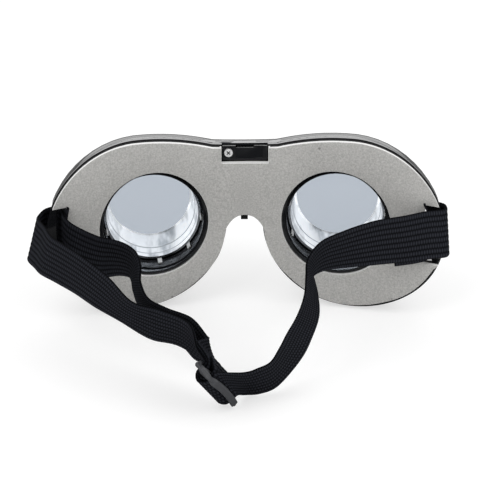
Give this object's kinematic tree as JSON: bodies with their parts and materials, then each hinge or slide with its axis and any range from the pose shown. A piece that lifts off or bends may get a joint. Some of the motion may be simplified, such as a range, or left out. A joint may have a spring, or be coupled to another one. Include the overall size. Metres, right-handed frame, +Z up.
{
  "type": "light-up party glasses",
  "caption": "Goggle-style light-up party glasses: bent padded mask, two lit barrel eyepieces, battery door in the bridge and an elastic head strap with a slider.",
  "frame": {"origin": "top of the nose notch on the joint between front shell and rear cover, at the middle of the mask", "axes": "+X to the right of the picture, the wearer's right, +Y forward out of the barrels, +Z up"},
  "size_m": [0.1778, 0.157, 0.0752],
  "materials": {
    "shell_plastic": "gloss",
    "cover_plastic": "gloss",
    "foam": "matte",
    "strip": "satin",
    "led": "gloss",
    "clear_cup": "gloss",
    "silvered": "satin",
    "lens": "gloss",
    "bezel_plastic": "gloss",
    "board": "satin",
    "chip": "matte",
    "switch_body": "matte",
    "button_plastic": "gloss",
    "cell_steel": "satin",
    "contact_metal": "satin",
    "door_plastic": "gloss",
    "screw_steel": "polished",
    "webbing": "matte",
    "thread": "satin",
    "slider_plastic": "satin"
  },
  "bodies": {
    "mask": {"front_shell": "shell_plastic", "rear_cover": "cover_plastic", "foam_pad": "foam", "left_led_strip": "strip", "right_led_strip": "strip", "left_leds": "led", "right_leds": "led", "left_cup": "clear_cup", "right_cup": "clear_cup", "left_reflector": "silvered", "right_reflector": "silvered", "left_lens": "lens", "right_lens": "lens", "left_bezel": "bezel_plastic", "right_bezel": "bezel_plastic", "main_board": "board", "control_chip": "chip", "mode_switch": "switch_body", "button_cells": "cell_steel", "contact_spring": "contact_metal", "contact_plate": "contact_metal", "case_screws": "screw_steel", "board_screws": "screw_steel", "strap": "webbing", "strap_stitches": "thread", "strap_slider": "slider_plastic"},
    "mode_button": {"mode_button": "button_plastic"},
    "battery_door": {"battery_door": "door_plastic", "door_screw": "screw_steel"}
  },
  "joints": [
    {"name": "mode_button_press", "type": "slide", "parent": "mask", "child": "mode_button", "axis": [0, 0, 1], "range_m": [0, 0.0004], "stiffness_N_per_m": 600, "springref_m": -0.0002},
    {"name": "battery_door_lift", "type": "slide", "parent": "mask", "child": "battery_door", "axis": [0, -1, 0], "range_m": [0, 0.012]}
  ]
}
